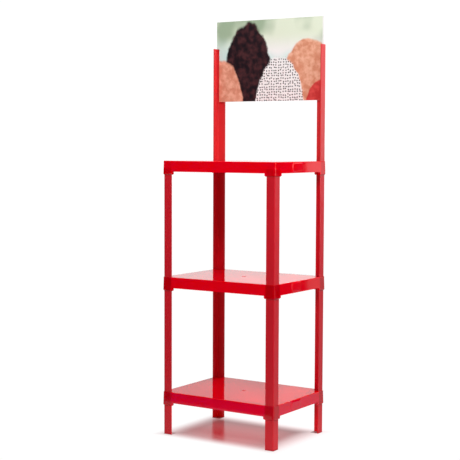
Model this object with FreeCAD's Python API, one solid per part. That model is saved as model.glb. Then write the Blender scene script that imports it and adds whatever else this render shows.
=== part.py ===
import FreeCAD, Part
import math
import os

Vector = FreeCAD.Vector
os.makedirs("parts", exist_ok=True)

# Lengths are in millimetres. X runs along the front, Y to the back, Z up, and the origin
# is on the floor under the middle of the stand.

# Shelf tray, measured over its rim at deck level
shelf_width = 420.0
shelf_depth = 315.0
deck_thickness = 2.5
rim_height = 35.0
rim_wall = 2.2
rim_flare = 1.0
rim_corner_radius = 5.0
rim_edge_round = 1.5

# Heights in the stand
shelf_count = 3
lowest_deck_height = 139.5
shelf_pitch = 374.0
header_post_rise = 374.0

# Angle post
post_leg = 29.5
post_wall = 3.0
post_inset = 2.0
post_corner_radius = 3.0
post_inner_radius = 1.5

# Corner socket, open above and below, with a stop between its two pockets
socket_clearance = 0.2
upper_pocket_depth = 20.0
socket_stop = 3.0
collar_drop = 9.5
collar_inner_wall = 2.2
collar_end_wall = 5.5
collar_chamfer = 2.4

# Stiffening ribs under the deck
cross_ribs = 5
long_ribs = 3
rib_depth = 12.0
rib_wall = 1.8

# Mould gate in the middle of the deck
gate_diameter = 14.0
gate_floor_diameter = 11.0
gate_depth = 0.8
gate_nub_diameter = 3.0
gate_nub_height = 0.5

# Bare raised pad on each end of the rim: a disc with its top and bottom cut off and sloping sides
pad_diameter = 66.0
pad_height = 31.0
pad_thickness = 1.5
pad_slope_width = 5.0
pad_offset = -23.0

# Header card, hung by its ears on the header posts
card_rise = 90.0
card_drop = 177.5
card_thickness = 8.0
card_ear_inset = 1.5
card_side_gap = 8.5

# Extra length of a cutting tool past the faces that it opens
overshoot = 5.0

# Two places nearer than this count as the same when edges are picked
pick_tolerance = 0.001

# Places that follow from the sizes
post_x = shelf_width / 2 - post_inset
post_y = shelf_depth / 2 - post_inset
collar_depth = rim_height + collar_drop
lower_pocket_top = -(upper_pocket_depth + socket_stop)
collar_x = post_x - post_leg - collar_end_wall
collar_y = post_y - post_leg - collar_end_wall
rim_slope = rim_flare / rim_height
deck_heights = [lowest_deck_height + step * shelf_pitch for step in range(shelf_count)]
header_top = deck_heights[-1] + header_post_rise


def outline(corners, z=0.0):
    """Closed wire through (x, y, radius) corners, each rounded by an arc."""
    spans = []
    count = len(corners)
    for index, (x, y, radius) in enumerate(corners):
        here = Vector(x, y, z)
        before = Vector(*corners[index - 1][:2], z) - here
        after = Vector(*corners[(index + 1) % count][:2], z) - here
        before.normalize()
        after.normalize()
        half_angle = before.getAngle(after) / 2
        reach = radius / math.tan(half_angle)
        to_middle = (before + after).normalize() * (radius / math.sin(half_angle) - radius)
        spans.append((here + before * reach, here + to_middle, here + after * reach, radius))
    edges = []
    for index, (start, middle, end, radius) in enumerate(spans):
        if radius > 0:
            edges.append(Part.Arc(start, middle, end).toShape())
        edges.append(Part.LineSegment(end, spans[(index + 1) % count][0]).toShape())
    return Part.Wire(edges)


def prism(corners, z_low, z_high):
    """Upright solid over a rounded outline."""
    return Part.Face(outline(corners, z_low)).extrude(Vector(0, 0, z_high - z_low))


def rectangle(half_x, half_y, radius):
    """Corners of a rounded rectangle about the origin."""
    return [
        (half_x, half_y, radius),
        (-half_x, half_y, radius),
        (-half_x, -half_y, radius),
        (half_x, -half_y, radius),
    ]


def leaning_block(inset, z_high, z_low):
    """Rounded block whose four sides lean out with the rim, set in from its outside."""
    rings = []
    for z in (z_high, z_low):
        grow = -z * rim_slope - inset
        rings.append(
            outline(
                rectangle(shelf_width / 2 + grow, shelf_depth / 2 + grow, rim_corner_radius + grow),
                z,
            )
        )
    return Part.makeLoft(rings, True, True)


def level_edges(shape, z):
    """Edges that lie flat at one height."""
    boxes = [(edge, edge.BoundBox) for edge in shape.Edges]
    return [edge for edge, box in boxes if max(abs(box.ZMin - z), abs(box.ZMax - z)) < pick_tolerance]


def in_four_corners(shape):
    """The shape of the back right corner, with its mirror images in the other corners."""
    origin = Vector(0, 0, 0)
    left = shape.mirror(origin, Vector(1, 0, 0))
    return {
        "back_right": shape,
        "back_left": left,
        "front_right": shape.mirror(origin, Vector(0, 1, 0)),
        "front_left": left.mirror(origin, Vector(0, 1, 0)),
    }


def angle_profile(grow):
    """L section of a post in the back right corner, made larger all round for its pocket."""
    x_out, y_out = post_x + grow, post_y + grow
    x_in, y_in = post_x - post_wall - grow, post_y - post_wall - grow
    x_end, y_end = post_x - post_leg - grow, post_y - post_leg - grow
    return [
        (x_out, y_out, post_corner_radius + grow),
        (x_end, y_out, 0),
        (x_end, y_in, 0),
        (x_in, y_in, post_inner_radius - grow),
        (x_in, y_end, 0),
        (x_out, y_end, 0),
    ]


def tray_block():
    """Outside form of the tray down to the collars, rounded above and chamfered below."""
    block = leaning_block(0, 0, -collar_depth)
    block = block.makeFillet(rim_edge_round, level_edges(block, 0))
    return block.makeChamfer(collar_chamfer, level_edges(block, -collar_depth))


def collar_boss(block):
    """L-shaped boss of one corner, cut to the outside form of the tray."""
    x_in = post_x - post_wall - socket_clearance - collar_inner_wall
    y_in = post_y - post_wall - socket_clearance - collar_inner_wall
    x_out, y_out = shelf_width / 2 + overshoot, shelf_depth / 2 + overshoot
    corners = [
        (x_out, y_out, 0),
        (collar_x, y_out, 0),
        (collar_x, y_in, 0),
        (x_in, y_in, post_inner_radius),
        (x_in, collar_y, 0),
        (x_out, collar_y, 0),
    ]
    return prism(corners, -collar_depth, -deck_thickness).common(block)


def rim_trimmer(half_span, across):
    """Tool that trims the rim between two collars and chamfers the ends of the collars."""
    low = -collar_depth
    wide = half_span + collar_chamfer + overshoot
    corners = [
        (half_span, -rim_height, 0),
        (-half_span, -rim_height, 0),
        (-half_span, low + collar_chamfer, 0),
        (-wide, low - overshoot, 0),
        (wide, low - overshoot, 0),
        (half_span, low + collar_chamfer, 0),
    ]
    tool = prism(corners, -across / 2, across / 2)
    tool.rotate(Vector(0, 0, 0), Vector(1, 0, 0), 90)
    return tool


def deck_ribs():
    """Grid of ribs under the deck."""
    length_x = shelf_width - rim_wall
    length_y = shelf_depth - rim_wall
    low = -deck_thickness - rib_depth
    ribs = []
    for index in range(1, cross_ribs + 1):
        x = shelf_width * (index / (cross_ribs + 1) - 0.5)
        corner = Vector(x - rib_wall / 2, -length_y / 2, low)
        ribs.append(Part.makeBox(rib_wall, length_y, rib_depth, corner))
    for index in range(1, long_ribs + 1):
        y = shelf_depth * (index / (long_ribs + 1) - 0.5)
        corner = Vector(-length_x / 2, y - rib_wall / 2, low)
        ribs.append(Part.makeBox(length_x, rib_wall, rib_depth, corner))
    return ribs


def gate_mark():
    """Shallow dish in the deck, with the nub that the moulding leaves in it."""
    floor = Vector(0, 0, -gate_depth)
    dish = Part.makeCone(gate_floor_diameter / 2, gate_diameter / 2, gate_depth, floor)
    nub = Part.makeCylinder(gate_nub_diameter / 2, gate_nub_height, floor)
    return dish.cut(nub)


def cut_disc(diameter, height, x):
    """Closed wire of a disc that faces X and has its top and bottom cut off."""
    bulge, half = diameter / 2, height / 2
    chord = math.sqrt(bulge**2 - half**2)
    edges = [
        Part.LineSegment(Vector(x, -chord, half), Vector(x, chord, half)).toShape(),
        Part.Arc(Vector(x, chord, half), Vector(x, bulge, 0), Vector(x, chord, -half)).toShape(),
        Part.LineSegment(Vector(x, chord, -half), Vector(x, -chord, -half)).toShape(),
        Part.Arc(Vector(x, -chord, -half), Vector(x, -bulge, 0), Vector(x, -chord, half)).toShape(),
    ]
    return Part.Wire(edges)


def end_pad():
    """Raised pad on the right end of the rim, rooted in its wall and leaning with it."""
    root = cut_disc(pad_diameter, pad_height, -rim_wall / 2)
    foot = cut_disc(pad_diameter, pad_height, 0)
    face = cut_disc(pad_diameter - 2 * pad_slope_width, pad_height - 2 * pad_slope_width, pad_thickness)
    pad = Part.makeLoft([root, foot, face], True, True)
    pad.rotate(Vector(0, 0, 0), Vector(0, 1, 0), math.degrees(math.atan(rim_slope)))
    middle = rim_height / 2
    pad.translate(Vector(shelf_width / 2 + middle * rim_slope, pad_offset, -middle))
    return pad


def shelf():
    """One tray: deck, leaning rim, four sockets, ribs, gate mark and end pads."""
    block = tray_block()
    hollow = leaning_block(rim_wall, -deck_thickness, -collar_depth - overshoot)
    bosses = list(in_four_corners(collar_boss(block)).values())
    right_pad = end_pad()
    pads = [right_pad, right_pad.mirror(Vector(0, 0, 0), Vector(1, 0, 0))]
    tray = block.cut(hollow).fuse(bosses + deck_ribs() + pads)

    width_over_all = shelf_width + 2 * overshoot
    depth_over_all = shelf_depth + 2 * overshoot
    front_tool = rim_trimmer(collar_x, depth_over_all)
    side_tool = rim_trimmer(collar_y, width_over_all)
    side_tool.rotate(Vector(0, 0, 0), Vector(0, 0, 1), 90)

    upper = prism(angle_profile(socket_clearance), -upper_pocket_depth, overshoot)
    lower = prism(angle_profile(socket_clearance), -collar_depth - overshoot, lower_pocket_top)
    pockets = list(in_four_corners(upper).values()) + list(in_four_corners(lower).values())
    return tray.cut([front_tool, side_tool, gate_mark()] + pockets).removeSplitter()


def posts(z_low, z_high):
    """One angle post for each corner, between two heights."""
    return in_four_corners(prism(angle_profile(0), z_low, z_high))


def header_card():
    """Card with two ears that rest on the header posts, flat against their back legs."""
    ear = post_x - card_ear_inset
    neck = post_x - post_wall - card_side_gap
    low, high = header_top - card_drop, header_top + card_rise
    corners = [
        (ear, high, 0),
        (-ear, high, 0),
        (-ear, header_top, 0),
        (-neck, header_top, 0),
        (-neck, low, 0),
        (neck, low, 0),
        (neck, header_top, 0),
        (ear, header_top, 0),
    ]
    card = prism(corners, 0, card_thickness)
    card.rotate(Vector(0, 0, 0), Vector(1, 0, 0), 90)
    card.translate(Vector(0, post_y - post_wall, 0))
    return card


def stand():
    """Every piece of the stand under its own name."""
    pieces = {}
    tray = shelf()
    for name, height in zip(("shelf_bottom", "shelf_middle", "shelf_top"), deck_heights):
        pieces[name] = tray.translated(Vector(0, 0, height))

    for corner, post in posts(0, deck_heights[0] + lower_pocket_top).items():
        pieces["foot_" + corner] = post
    for level, base in (("lower", deck_heights[0]), ("upper", deck_heights[1])):
        top = base + shelf_pitch + lower_pocket_top
        for corner, post in posts(base - upper_pocket_depth, top).items():
            pieces[f"post_{level}_{corner}"] = post
    header_posts = posts(deck_heights[-1] - upper_pocket_depth, header_top)
    for side in ("left", "right"):
        pieces["header_post_" + side] = header_posts["back_" + side]

    pieces["header_card"] = header_card()
    return pieces


for name, piece in stand().items():
    piece.exportStep(f"parts/{name}.step")
    print(name, "solids", len(piece.Solids), "valid", piece.isValid(), "volume", round(piece.Volume))
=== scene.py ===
import math

import bpy
from mathutils import Matrix, Vector


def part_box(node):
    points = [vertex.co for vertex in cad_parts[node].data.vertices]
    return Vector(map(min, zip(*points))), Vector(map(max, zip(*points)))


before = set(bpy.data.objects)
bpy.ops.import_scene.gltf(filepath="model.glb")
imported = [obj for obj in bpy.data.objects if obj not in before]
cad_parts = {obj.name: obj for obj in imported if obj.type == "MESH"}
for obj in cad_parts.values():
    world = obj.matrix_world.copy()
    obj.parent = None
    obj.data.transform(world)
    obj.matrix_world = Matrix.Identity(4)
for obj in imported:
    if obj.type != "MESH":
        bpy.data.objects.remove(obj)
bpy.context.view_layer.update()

# Lengths are in metres, angles in degrees, powers in watts, and colours are linear.
# A pair of numbers holds the two ends that a noise is spread over, or between which a value fades.
WHITE = (1.0, 1.0, 1.0)
BLACK = (0.0, 0.0, 0.0)

# Levels and places of the stand, read from the frame
TRAYS = ("shelf_bottom", "shelf_middle", "shelf_top")
POSTS = [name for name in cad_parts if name.startswith(("foot_", "post_", "header_post_"))]
DECKS = {tray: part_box(tray)[1].z for tray in TRAYS}
POST_INNER, POST_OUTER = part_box("foot_back_right")
NEST_DEPTH = DECKS["shelf_bottom"] - POST_OUTER.z
CARD_LOW, CARD_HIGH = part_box("header_card")

# Camera
CAMERA_PLACE = Vector((2.1275, -3.3187, 0.9398))
CAMERA_YAW = 33.34
CAMERA_PITCH = 4.00
CAMERA_ROLL = 0.22
FOCAL_PIXELS = 1222.4
IMAGE_PIXELS = 460
SENSOR_WIDTH = 36.0

# Tray plastic: its red, the darker, more crimson red of the lowest rim, which is painted shade for
# the dimmer light near the floor, and the darker red over nested post ends, which is painted shade
# where a post behind the skin holds back the light through it
RED_TRAY = (0.94, 0.0006, 0.012)
RED_LOW_RIM_PAINTED_SHADE = (0.82, 0.002, 0.040)
RED_NEST_PAINTED_SHADE = {
    "shelf_bottom": (0.61, 0.003, 0.014),
    "shelf_middle": (0.61, 0.0004, 0.007),
    "shelf_top": (0.70, 0.0004, 0.007),
}
LOW_RIM_SHADE_BELOW_DECK = (0.001, 0.005)
NEST_SHADE_FADE = 0.0045
TRAY_SHADE = (0.95, 1.05)
TRAY_SHADE_SCALE = 5.0
TRAY_ROUGHNESS = (0.03, 0.07)
TRAY_ROUGHNESS_SCALE = 18.0
PEEL_SCALE = 110.0
PEEL_BUMP = {"Strength": 0.05, "Distance": 0.0004}
TRAY_BODY = {
    "IOR": 1.5,
    "Subsurface Weight": 0.9,
    "Subsurface Radius": (1.0, 0.05, 0.05),
    "Subsurface Scale": 0.006,
}

# Dull ring that the moulding gate leaves around the middle of each deck
GATE_EDGE = (0.006, 0.009)
GATE_ROUGHNESS = 0.40

# Post plastic: its red, a paler, pinker red above the top deck that is painted sheen, and draw
# lines along its length
RED_POST = (0.68, 0.0025, 0.015)
RED_HEADER_POST_PAINTED_SHEEN = (0.69, 0.028, 0.033)
HEADER_SHEEN_FADE = 0.002
POST_SHADE = (0.92, 1.08)
POST_SHADE_SCALE = 9.0
POST_ROUGHNESS = (0.33, 0.43)
DRAW_LINES_SCALE = (260.0, 260.0, 1.5)
DRAW_LINES_BUMP = {"Strength": 0.06, "Distance": 0.0003}
POST_BODY = {
    "IOR": 1.5,
    "Subsurface Weight": 0.25,
    "Subsurface Radius": (1.0, 0.08, 0.08),
    "Subsurface Scale": 0.003,
}

# Board of the header card: white coat on its edges, bare grey board behind
WHITE_BOARD = (0.92, 0.92, 0.91)
BARE_BOARD = ((0.50, 0.49, 0.46), (0.60, 0.59, 0.56))
BARE_BOARD_EDGES = (0.3, 0.7)
FIBRE_SCALE = (90.0, 90.0, 400.0)
FACE_MARGIN = 0.0002
BOARD_ROUGHNESS = (0.36, 0.46)
BOARD_ROUGHNESS_SCALE = 12.0
BOARD_GRAIN_SCALE = 900.0
BOARD_BUMP = {"Strength": 0.05, "Distance": 0.0002}
BOARD_IOR = 1.48

# Print on the card, in shares of its width and height: two layers of sky, each as noise scale,
# noise detail, noise edges, and two inks
HIGH_SKY = (9.0, 1.5, (0.38, 0.60), (0.38, 0.50, 0.34), (0.80, 0.88, 0.70))
LOW_SKY = (6.0, 1.0, (0.36, 0.54), (0.60, 0.84, 0.80), (0.97, 0.97, 0.96))
HORIZON = (0.55, 0.85)
PRINT_END = 0.988
PRINT_END_FADE = 0.002

# Hills of the print: centre, radii and two inks
HILLS = (
    ((0.86, 0.08), (0.26, 0.66), (0.72, 0.28, 0.16), (0.92, 0.50, 0.34)),
    ((0.30, -0.05), (0.25, 1.02), (0.012, 0.006, 0.010), (0.075, 0.022, 0.026)),
    ((0.06, -0.15), (0.20, 0.66), (0.70, 0.26, 0.16), (0.90, 0.46, 0.32)),
    ((0.99, -0.25), (0.17, 0.50), (0.60, 0.03, 0.03), (0.80, 0.08, 0.07)),
)
HILL_EDGE = 0.03
HILL_SWAY = (-0.08, 0.08)
HILL_SWAY_SCALE = 28.0
HILL_GRAIN_SCALE = 60.0
HILL_GRAIN_EDGES = (0.35, 0.70)

# Dotted hill: centre and radii, dots across and up the card, edges of a dot, and two inks
DOTTED_HILL = ((0.60, -0.28), (0.24, 0.82))
DOTS = (46.0, 30.0, 1.0)
DOTS_RANDOMNESS = 0.45
DOT_EDGES = (0.20, 0.33)
DOT_INK = (0.03, 0.02, 0.03)
DOT_GROUND = (0.98, 0.97, 0.96)

# Floor: a dark grey gloss surface in the shade of the stand, a painted shade that real shadow
# deepens, evenly lit farther out, and painted pink near the stand as a painted red bounce
FLOOR_REACH = 9.0
FLOOR_PAINTED_SHADE_GREY = (0.31, 0.31, 0.31)
FLOOR_IOR = 1.45
FLOOR_ROUGHNESS = (0.17, 0.23)
FLOOR_ROUGHNESS_SCALE = 3.0
FLOOR_PAINTED_RED_BOUNCE = (1.0, 0.80, 0.81)
FLOOR_RED_BOUNCE_ENDS = (-0.030, 0.040)
# Place and ends of the painted shade on the floor, set a little left and to the front, where the
# stand's shadow falls
SHADE_CENTRE = (-0.012, -0.006)
SHADE_ENDS_X = (-0.068, 0.028)
SHADE_ENDS_Y = (-0.056, 0.026)
FOOT_EDGE = 0.002

# Strength of the lit floor and of the backdrop: as seen, as mirrored, and as a light
FLOOR_SEEN = 1.02
FLOOR_MIRRORED = 0.50
FLOOR_LIGHT = 0.54
NEAR_FLOOR_LIGHT = 0.25
NEAR_FLOOR_ENDS = (0.05, 0.30)
RIGHT_FLOOR_LIGHT = 0.45
RIGHT_FLOOR_ENDS = (0.06, 0.20)
RIGHT_FLOOR_START = (0.16, 0.26)
WORLD_SEEN = 1.05
WORLD_MIRRORED = (1.00, 0.66)
WORLD_DIMS_BETWEEN = (0.08, 0.24)

# Soft boxes: name, place, target, size and power
MIDDLE = (0.0, 0.0, 0.7)
LIGHTS = (
    ("key", (1.5, -2.2, 2.8), MIDDLE, (1.0, 1.0), 68.0),
    ("left_front", (-2.0, -2.0, 1.8), MIDDLE, (1.2, 1.2), 6.0),
    ("top_front", (0.0, -1.2, 2.5), MIDDLE, (0.8, 0.5), 6.0),
    ("top_right", (1.2, 0.0, 2.5), MIDDLE, (0.5, 0.8), 25.0),
    ("right", (3.0, 0.0, 1.4), MIDDLE, (1.6, 1.6), 7.0),
    ("back", (0.0, 3.0, 1.4), MIDDLE, (1.6, 1.6), 72.0),
)

# Red light that the stacked trays let through to the floor: place, target, size, colour, power
GLOW_PLACE = (0.0, -0.04, 0.098)
GLOW_TARGET = (0.0, -0.04, 0.0)
GLOW_SIZE = (0.36, 0.26)
GLOW_COLOUR = (1.0, 0.02, 0.04)
GLOW_POWER = 0.50

# Dark flags that only reflections see: name, both ends on the floor, and height
FLAGS = (
    ("flag_front", ((-4.0, -0.70), (3.6, -0.70)), 2.6),
    ("flag_right", ((1.31, 1.95), (2.13, 1.59)), 3.0),
    ("flag_back", ((-0.30, 2.20), (0.75, 2.20)), 3.0),
)


class Nodes:
    """Adds nodes to one tree and links what it is given."""

    def __init__(self, tree):
        self.tree = tree
        tree.nodes.clear()

    def add(self, kind, inputs=None, **settings):
        node = self.tree.nodes.new(kind)
        for key, value in settings.items():
            setattr(node, key, value)
        for key, value in (inputs or {}).items():
            if isinstance(value, bpy.types.NodeSocket):
                self.tree.links.new(value, node.inputs[key])
            else:
                node.inputs[key].default_value = value
        return node

    def math(self, operation, *values):
        return self.add("ShaderNodeMath", dict(enumerate(values)), operation=operation).outputs[0]

    def length(self, first, second):
        """Length of a flat vector with these two parts."""
        squares = (self.math("MULTIPLY", part, part) for part in (first, second))
        return self.math("SQRT", self.math("ADD", *squares))

    def spread(self, value, ends):
        """Spreads 0 to 1 over the two ends."""
        low, high = ends
        return self.math("MULTIPLY_ADD", value, high - low, low)

    def step(self, value, low, high):
        """0 at low, 1 at high, and a smooth change between them."""
        inputs = {"Value": value, "From Min": low, "From Max": high}
        node = self.add("ShaderNodeMapRange", inputs, interpolation_type="SMOOTHSTEP")
        return node.outputs["Result"]

    def mix(self, factor, first, second):
        colours = {6: first, 7: second}
        for key, value in colours.items():
            if isinstance(value, tuple):
                colours[key] = (*value, 1.0)
        return self.add("ShaderNodeMix", {0: factor, **colours}, data_type="RGBA").outputs[2]

    def mix_value(self, factor, first, second):
        inputs = {0: factor, 2: first, 3: second}
        return self.add("ShaderNodeMix", inputs, data_type="FLOAT").outputs[0]

    def scaled(self, colour, factor):
        inputs = {"Vector": colour, "Scale": factor}
        return self.add("ShaderNodeVectorMath", inputs, operation="SCALE").outputs[0]

    def noise(self, vector, scale, detail=2.0):
        inputs = {"Vector": vector, "Scale": scale, "Detail": detail}
        return self.add("ShaderNodeTexNoise", inputs).outputs["Fac"]

    def bump(self, height, settings):
        return self.add("ShaderNodeBump", {"Height": height, **settings}).outputs["Normal"]

    def place(self):
        """Object coordinates, in metres, and their three parts."""
        vector = self.add("ShaderNodeTexCoord").outputs["Object"]
        parts = self.add("ShaderNodeSeparateXYZ", {"Vector": vector})
        return vector, parts.outputs["X"], parts.outputs["Y"], parts.outputs["Z"]

    def stretch(self, vector, scale):
        return self.add("ShaderNodeMapping", {"Vector": vector, "Scale": scale}).outputs["Vector"]

    def principled(self, colour, rough, **inputs):
        inputs = {"Base Color": colour, "Roughness": rough, **inputs}
        return self.add("ShaderNodeBsdfPrincipled", inputs).outputs[0]

    def finish(self, shader):
        self.add("ShaderNodeOutputMaterial", {"Surface": shader})


def new_material(name):
    material = bpy.data.materials.new(name)
    material.use_nodes = True
    return material, Nodes(material.node_tree)


def dress(node, material):
    """Gives a carried-over piece its material."""
    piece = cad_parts[node]
    piece.data.materials.clear()
    piece.data.materials.append(material)


def nest_painted_shade_mask(nodes, x, y, z, tray):
    """1 where a post end is nested behind the skin of a tray corner, which is where the painted
    shade goes.
    """
    side = nodes.math("ABSOLUTE", x)
    depth = nodes.math("ABSOLUTE", y)
    over_x = nodes.step(side, POST_INNER.x - NEST_SHADE_FADE, POST_INNER.x + NEST_SHADE_FADE)
    over_y = nodes.step(depth, POST_INNER.y - NEST_SHADE_FADE, POST_INNER.y + NEST_SHADE_FADE)
    mask = nodes.math("MULTIPLY", over_x, over_y)
    if tray == "shelf_top":
        # No post stands in its two front corners, so only the lower half is nested there and gets
        # the painted shade
        seat = DECKS[tray] - NEST_DEPTH
        below = nodes.step(z, seat + NEST_SHADE_FADE, seat - NEST_SHADE_FADE)
        at_back = nodes.math("GREATER_THAN", y, 0.0)
        mask = nodes.math("MULTIPLY", mask, nodes.math("MAXIMUM", below, at_back))
    return mask


def tray_material(tray):
    """Glossy moulded plastic that lets some light through, with painted shade over the nested
    posts and on the lowest rim.
    """
    material, nodes = new_material("plastic_" + tray)
    vector, x, y, z = nodes.place()
    red = RED_TRAY
    if tray == "shelf_bottom":
        # Painted shade: below its deck the rim of the lowest tray is painted a darker, more
        # crimson red for the dimmer light that reaches it near the floor
        start, end = (DECKS[tray] - drop for drop in LOW_RIM_SHADE_BELOW_DECK)
        red = nodes.mix(nodes.step(z, start, end), RED_TRAY, RED_LOW_RIM_PAINTED_SHADE)
    # Painted shade: the skin is painted a darker red where a nested post end behind it holds back
    # the light that comes through the plastic
    red = nodes.mix(nest_painted_shade_mask(nodes, x, y, z, tray), red, RED_NEST_PAINTED_SHADE[tray])
    shade = nodes.spread(nodes.noise(vector, TRAY_SHADE_SCALE, 3.0), TRAY_SHADE)
    rough = nodes.spread(nodes.noise(vector, TRAY_ROUGHNESS_SCALE, 4.0), TRAY_ROUGHNESS)
    gate_start, gate_end = GATE_EDGE
    blush = nodes.step(nodes.length(x, y), gate_end, gate_start)
    rough = nodes.math("MULTIPLY_ADD", blush, GATE_ROUGHNESS, rough)
    normal = nodes.bump(nodes.noise(vector, PEEL_SCALE), PEEL_BUMP)
    nodes.finish(nodes.principled(nodes.scaled(red, shade), rough, Normal=normal, **TRAY_BODY))
    return material


def post_material():
    """Satin plastic of the angle posts, with faint draw lines along their length and painted sheen
    above the top deck.
    """
    material, nodes = new_material("plastic_posts")
    vector, _, _, z = nodes.place()
    top = DECKS["shelf_top"]
    # Painted sheen: above the top deck the posts are painted a paler, pinker red
    sheen_over_top = nodes.step(z, top - HEADER_SHEEN_FADE, top + HEADER_SHEEN_FADE)
    red = nodes.mix(sheen_over_top, RED_POST, RED_HEADER_POST_PAINTED_SHEEN)
    shade = nodes.spread(nodes.noise(vector, POST_SHADE_SCALE, 3.0), POST_SHADE)
    lines = nodes.noise(nodes.stretch(vector, DRAW_LINES_SCALE), 1.0, 3.0)
    rough = nodes.spread(lines, POST_ROUGHNESS)
    normal = nodes.bump(lines, DRAW_LINES_BUMP)
    nodes.finish(nodes.principled(nodes.scaled(red, shade), rough, Normal=normal, **POST_BODY))
    return material


def hill(nodes, u, v, sway, centre, radii):
    """1 inside an upright ellipse with a slightly uneven edge."""
    du = nodes.math("DIVIDE", nodes.math("SUBTRACT", u, centre[0]), radii[0])
    dv = nodes.math("DIVIDE", nodes.math("SUBTRACT", v, centre[1]), radii[1])
    away = nodes.math("ADD", nodes.length(du, dv), sway)
    return nodes.step(away, 1.0 + HILL_EDGE, 1.0 - HILL_EDGE)


def sky(nodes, vector, scale, detail, edges, dark, light):
    return nodes.mix(nodes.step(nodes.noise(vector, scale, detail), *edges), dark, light)


def dots(nodes, u, v):
    """Rows of uneven dots."""
    flat = nodes.add("ShaderNodeCombineXYZ", {"X": u, "Y": v}).outputs[0]
    inputs = {"Vector": nodes.stretch(flat, DOTS), "Scale": 1.0, "Randomness": DOTS_RANDOMNESS}
    cells = nodes.add("ShaderNodeTexVoronoi", inputs, voronoi_dimensions="2D")
    return nodes.mix(nodes.step(cells.outputs["Distance"], *DOT_EDGES), DOT_INK, DOT_GROUND)


def card_print(nodes, vector, u, v):
    """A soft landscape: rounded hills, one of them dotted, before a hazy green and white sky."""
    low, high = HORIZON
    lowering = nodes.step(v, high, low)
    colour = nodes.mix(lowering, sky(nodes, vector, *HIGH_SKY), sky(nodes, vector, *LOW_SKY))
    sway = nodes.spread(nodes.noise(vector, HILL_SWAY_SCALE, 4.0), HILL_SWAY)
    grain = nodes.step(nodes.noise(vector, HILL_GRAIN_SCALE, 4.0), *HILL_GRAIN_EDGES)
    for centre, radii, dark, light in HILLS:
        ink = nodes.mix(grain, dark, light)
        colour = nodes.mix(hill(nodes, u, v, sway, centre, radii), colour, ink)
    colour = nodes.mix(hill(nodes, u, v, sway, *DOTTED_HILL), colour, dots(nodes, u, v))
    margin = nodes.step(u, PRINT_END - PRINT_END_FADE, PRINT_END + PRINT_END_FADE)
    return nodes.mix(margin, colour, WHITE_BOARD)


def card_material():
    """Coated board: printed in front, white on its edges, bare behind."""
    material, nodes = new_material("board_header_card")
    vector, x, y, z = nodes.place()
    size = CARD_HIGH - CARD_LOW
    u = nodes.math("DIVIDE", nodes.math("SUBTRACT", x, CARD_LOW.x), size.x)
    v = nodes.math("DIVIDE", nodes.math("SUBTRACT", z, CARD_LOW.z), size.z)
    in_front = nodes.math("LESS_THAN", y, CARD_LOW.y + FACE_MARGIN)
    behind = nodes.math("GREATER_THAN", y, CARD_HIGH.y - FACE_MARGIN)
    fibre = nodes.noise(nodes.stretch(vector, FIBRE_SCALE), 1.0, 4.0)
    bare = nodes.mix(nodes.step(fibre, *BARE_BOARD_EDGES), *BARE_BOARD)
    colour = nodes.mix(behind, WHITE_BOARD, bare)
    colour = nodes.mix(in_front, colour, card_print(nodes, vector, u, v))
    rough = nodes.spread(nodes.noise(vector, BOARD_ROUGHNESS_SCALE, 3.0), BOARD_ROUGHNESS)
    normal = nodes.bump(nodes.noise(vector, BOARD_GRAIN_SCALE), BOARD_BUMP)
    nodes.finish(nodes.principled(colour, rough, Normal=normal, IOR=BOARD_IOR))
    return material


def lit_floor(nodes, x, away):
    """Evenly lit white floor, painted pink near the stand as a painted red bounce: its strength as
    seen, as mirrored, and as a light.
    """
    near_low, near_high = NEAR_FLOOR_ENDS
    right_low, right_high = RIGHT_FLOOR_ENDS
    near = nodes.step(away, near_high, near_low)
    near_right = nodes.step(away, right_high, right_low)
    at_right = nodes.math("MULTIPLY", nodes.step(x, *RIGHT_FLOOR_START), near_right)
    light = nodes.math("MULTIPLY_ADD", near, NEAR_FLOOR_LIGHT, FLOOR_LIGHT)
    light = nodes.math("MULTIPLY_ADD", at_right, RIGHT_FLOOR_LIGHT, light)
    path = nodes.add("ShaderNodeLightPath")
    strength = nodes.mix_value(path.outputs["Is Camera Ray"], light, FLOOR_SEEN)
    strength = nodes.mix_value(path.outputs["Is Glossy Ray"], strength, FLOOR_MIRRORED)
    # Painted red bounce: near the stand the lit floor is painted pink for the red light that the
    # trays throw on it
    bounce_low, bounce_high = FLOOR_RED_BOUNCE_ENDS
    colour = nodes.mix(nodes.step(away, bounce_high, bounce_low), WHITE, FLOOR_PAINTED_RED_BOUNCE)
    inputs = {"Color": colour, "Strength": strength}
    return nodes.add("ShaderNodeEmission", inputs).outputs[0]


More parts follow.
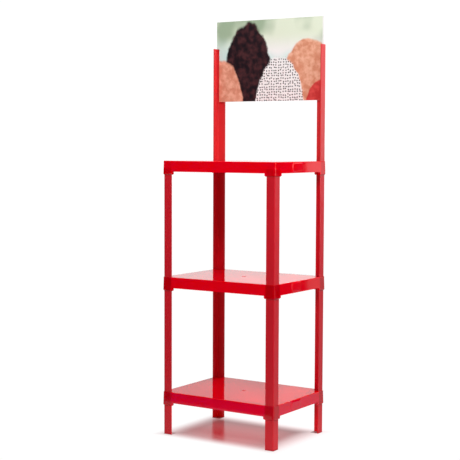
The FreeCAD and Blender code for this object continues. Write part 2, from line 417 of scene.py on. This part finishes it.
def floor_material():
    """Gloss floor, shaded by the stand near it, where it is also painted dark grey as painted
    shade, and evenly lit white farther out.
    """
    material, nodes = new_material("stage_floor")
    vector, x, y, _ = nodes.place()
    side = nodes.math("ABSOLUTE", x)
    depth = nodes.math("ABSOLUTE", y)
    out_x = nodes.math("SUBTRACT", side, POST_OUTER.x)
    out_y = nodes.math("SUBTRACT", depth, POST_OUTER.y)
    away = nodes.math("MAXIMUM", out_x, out_y)

    # Painted shade: inside each foot the floor stays dark grey for the shade there
    over_x = nodes.step(side, POST_INNER.x - FOOT_EDGE, POST_INNER.x)
    over_y = nodes.step(depth, POST_INNER.y - FOOT_EDGE, POST_INNER.y)
    in_foot = nodes.math("MULTIPLY", over_x, over_y)
    under_foot = nodes.math("MULTIPLY", in_foot, nodes.step(away, FOOT_EDGE, 0.0))

    # Painted shade: the dark grey floor covers the stand's footprint, set a little left and to the
    # front where its shadow falls, and gives way to the lit floor beyond
    from_x = nodes.math("ABSOLUTE", nodes.math("SUBTRACT", x, SHADE_CENTRE[0]))
    from_y = nodes.math("ABSOLUTE", nodes.math("SUBTRACT", y, SHADE_CENTRE[1]))
    lit_x = nodes.step(nodes.math("SUBTRACT", from_x, POST_OUTER.x), *SHADE_ENDS_X)
    lit_y = nodes.step(nodes.math("SUBTRACT", from_y, POST_OUTER.y), *SHADE_ENDS_Y)
    open_floor = nodes.math("SUBTRACT", 1.0, under_foot)
    share = nodes.math("MULTIPLY", nodes.math("MAXIMUM", lit_x, lit_y), open_floor)

    rough = nodes.spread(nodes.noise(vector, FLOOR_ROUGHNESS_SCALE, 3.0), FLOOR_ROUGHNESS)
    shaded = nodes.principled((*FLOOR_PAINTED_SHADE_GREY, 1.0), rough, IOR=FLOOR_IOR)
    inputs = {0: share, 1: shaded, 2: lit_floor(nodes, x, away)}
    nodes.finish(nodes.add("ShaderNodeMixShader", inputs).outputs[0])
    return material


def flag_material():
    material, nodes = new_material("stage_flag")
    nodes.finish(nodes.add("ShaderNodeBsdfDiffuse", {"Color": (*BLACK, 1.0)}).outputs[0])
    return material


def link(item):
    bpy.context.scene.collection.objects.link(item)


def flat_panel(name, corners, material):
    mesh = bpy.data.meshes.new(name)
    mesh.from_pydata(corners, [], [(0, 1, 2, 3)])
    mesh.materials.append(material)
    panel = bpy.data.objects.new(name, mesh)
    link(panel)
    return panel


def make_stage():
    """White floor, and dark flags that only reflections see."""
    turns = ((-1, -1), (1, -1), (1, 1), (-1, 1))
    corners = [(FLOOR_REACH * x, FLOOR_REACH * y, 0.0) for x, y in turns]
    flat_panel("floor", corners, floor_material())
    dark = flag_material()
    for name, ends, height in FLAGS:
        start, end = ends
        corners = [(*start, 0.0), (*end, 0.0), (*end, height), (*start, height)]
        flag = flat_panel(name, corners, dark)
        flag.visible_camera = False
        flag.visible_diffuse = False
        flag.visible_transmission = False
        flag.visible_shadow = False


def make_world():
    """White to the camera, dimmer upwards to reflections, and dark as a light."""
    world = bpy.data.worlds.new("world")
    bpy.context.scene.world = world
    world.use_nodes = True
    nodes = Nodes(world.node_tree)
    path = nodes.add("ShaderNodeLightPath")
    direction = nodes.add("ShaderNodeTexCoord").outputs["Generated"]
    height = nodes.add("ShaderNodeSeparateXYZ", {"Vector": direction}).outputs["Z"]
    backdrop = nodes.spread(nodes.step(height, *WORLD_DIMS_BETWEEN), WORLD_MIRRORED)
    mirrored = nodes.math("MULTIPLY", path.outputs["Is Glossy Ray"], backdrop)
    seen = path.outputs["Is Camera Ray"]
    strength = nodes.math("MULTIPLY_ADD", seen, WORLD_SEEN, mirrored)
    inputs = {"Color": (*WHITE, 1.0), "Strength": strength}
    background = nodes.add("ShaderNodeBackground", inputs)
    nodes.add("ShaderNodeOutputWorld", {"Surface": background.outputs[0]})


def soft_light(name, place, target, size, power, colour=WHITE):
    data = bpy.data.lights.new(name, "AREA")
    data.shape = "RECTANGLE"
    data.size, data.size_y = size
    data.energy = power
    data.color = colour
    light = bpy.data.objects.new(name, data)
    light.location = place
    aim = Vector(target) - Vector(place)
    light.rotation_euler = aim.to_track_quat("-Z", "Y").to_euler()
    light.visible_camera = False
    link(light)


def make_lights():
    """Soft boxes around the stand, and the red glow under its lowest tray."""
    for name, place, target, size, power in LIGHTS:
        soft_light(name, place, target, size, power)
    soft_light("tray_glow", GLOW_PLACE, GLOW_TARGET, GLOW_SIZE, GLOW_POWER, GLOW_COLOUR)


def make_camera():
    angles = (CAMERA_YAW, CAMERA_PITCH, CAMERA_ROLL)
    yaw, pitch, roll = (math.radians(angle) for angle in angles)
    level = Vector((math.cos(yaw), math.sin(yaw), 0.0))
    ahead = Vector((-math.sin(yaw), math.cos(yaw), 0.0))
    forward = math.cos(pitch) * ahead - math.sin(pitch) * Vector((0.0, 0.0, 1.0))
    upright = level.cross(forward)
    right = math.cos(roll) * level + math.sin(roll) * upright
    up = math.cos(roll) * upright - math.sin(roll) * level
    data = bpy.data.cameras.new("camera")
    data.sensor_width = SENSOR_WIDTH
    data.sensor_fit = "HORIZONTAL"
    data.lens = FOCAL_PIXELS / IMAGE_PIXELS * SENSOR_WIDTH
    camera = bpy.data.objects.new("camera", data)
    turn = Matrix((right, up, -forward)).transposed().to_4x4()
    camera.matrix_world = Matrix.Translation(CAMERA_PLACE) @ turn
    link(camera)
    bpy.context.scene.camera = camera


for tray in TRAYS:
    dress(tray, tray_material(tray))
posts = post_material()
for name in POSTS:
    dress(name, posts)
dress("header_card", card_material())

make_stage()
make_world()
make_lights()
make_camera()

view_settings = bpy.context.scene.view_settings
view_settings.view_transform = "Standard"
view_settings.look = "None"
